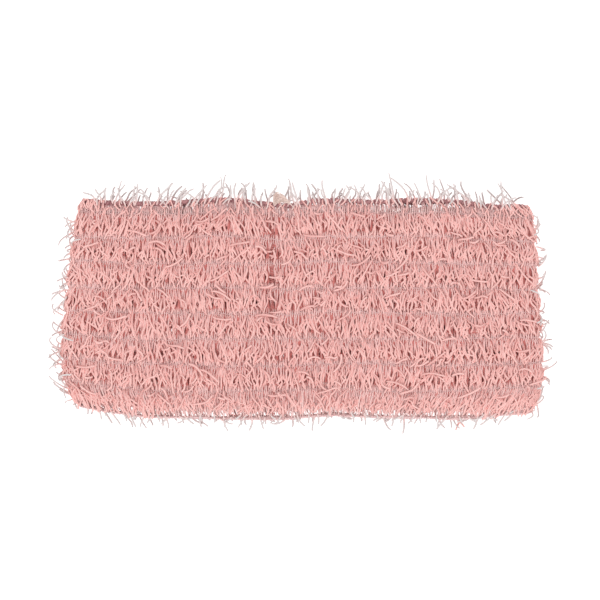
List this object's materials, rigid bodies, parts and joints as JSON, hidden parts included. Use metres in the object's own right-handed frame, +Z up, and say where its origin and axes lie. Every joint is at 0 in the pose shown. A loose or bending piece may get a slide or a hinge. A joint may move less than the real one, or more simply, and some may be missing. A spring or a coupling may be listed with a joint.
{
  "type": "spa headband",
  "caption": "Wide stretch-knit loop headband lying flat, with rows of soft pink pile and loose yarn ends between fine elastic chain lines, and narrow hems.",
  "frame": {"origin": "on the surface that the band lies on, under the middle of its outline", "axes": "+X across the flattened loop from fold to fold, +Y up the band from the bottom hem to the top hem, +Z up through the two layers"},
  "size_m": [0.222, 0.0998, 0.015],
  "materials": {
    "pile_yarn": "soft matt pink pile yarn",
    "chain_yarn": "matt grey-mauve fine knit",
    "hem_yarn": "matt plum-mauve twisted hem yarn",
    "covered_elastic": "pale covered elastic thread",
    "seam_thread": "fine beige sewing thread"
  },
  "bodies": {
    "root": {"top_hem": "hem_yarn", "top_hem_elastic": "covered_elastic", "ladder_course": "chain_yarn", "chain_line_1": "chain_yarn", "chain_elastic_1": "covered_elastic", "pile_row_1": "pile_yarn", "chain_line_2": "chain_yarn", "chain_elastic_2": "covered_elastic", "pile_row_2": "pile_yarn", "chain_line_3": "chain_yarn", "chain_elastic_3": "covered_elastic", "pile_row_3": "pile_yarn", "chain_line_4": "chain_yarn", "chain_elastic_4": "covered_elastic", "pile_row_4": "pile_yarn", "chain_line_5": "chain_yarn", "chain_elastic_5": "covered_elastic", "pile_row_5": "pile_yarn", "chain_line_6": "chain_yarn", "chain_elastic_6": "covered_elastic", "pile_row_6": "pile_yarn", "chain_line_7": "chain_yarn", "chain_elastic_7": "covered_elastic", "pile_row_7": "pile_yarn", "chain_line_8": "chain_yarn", "chain_elastic_8": "covered_elastic", "pile_row_8": "pile_yarn", "bottom_hem": "hem_yarn", "bottom_hem_elastic": "covered_elastic", "joining_seam": "seam_thread", "seam_tail": "seam_thread"}
  },
  "joints": []
}
